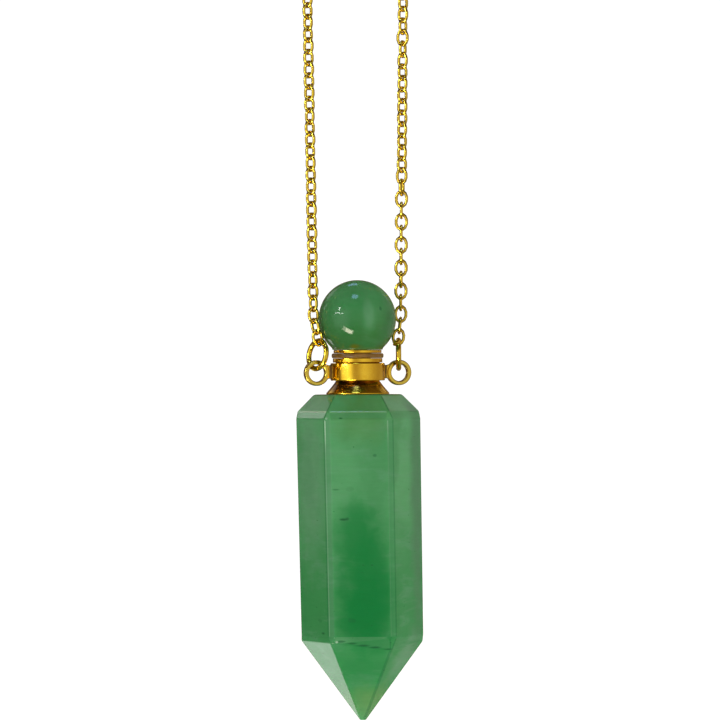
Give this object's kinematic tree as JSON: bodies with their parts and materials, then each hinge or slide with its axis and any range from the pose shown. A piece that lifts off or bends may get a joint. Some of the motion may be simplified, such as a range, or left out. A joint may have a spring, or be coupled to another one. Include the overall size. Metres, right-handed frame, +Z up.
{
  "type": "bottle pendant necklace",
  "caption": "Six-sided pointed stone bottle with a round screw stopper and a gold-coloured neck, hung by side loops on a fine cable chain with a clasp.",
  "frame": {"origin": "the point under the clasp, in the middle between the strands, where the necklace rests on the peg or neck that holds it up", "axes": "+Z up along the hanging strands, X from the left strand to the right one, +Y away from the front"},
  "size_m": [0.0208, 0.0154, 0.2709],
  "materials": {
    "aventurine": "polished, milky and slightly translucent, with fine dark flecks",
    "gold_plate": "bright gold plating",
    "silicone": "smooth, dull, cloudy"
  },
  "bodies": {
    "necklace": {"chain_left": "gold_plate", "chain_right": "gold_plate", "clasp": "gold_plate", "clasp_ring": "gold_plate", "jump_ring_left": "gold_plate", "jump_ring_right": "gold_plate"},
    "bottle": {"crystal_bottle": "aventurine", "neck_fitting": "gold_plate", "loop_band": "gold_plate"},
    "seal": {"seal_ring": "silicone"},
    "stopper": {"stopper_ball": "aventurine", "stopper_plug": "gold_plate"}
  },
  "joints": [
    {"name": "bottle_swing", "type": "hinge", "parent": "necklace", "child": "bottle", "pos_m": [0, 0, -0.22138], "axis": [1, 0, 0], "range_deg": [-75, 75]},
    {"name": "stopper_lift", "type": "slide", "parent": "bottle", "child": "seal", "axis": [0, 0, 1], "range_m": [0, 0.0028]},
    {"name": "stopper_turn", "type": "hinge", "parent": "seal", "child": "stopper", "pos_m": [0, 0, -0.216], "axis": [0, 0, 1], "range_deg": [0, 1441]}
  ],
  "couplings": [
    {"joint": "stopper_turn", "follows": "stopper_lift", "rad_per_m": 8976}
  ]
}
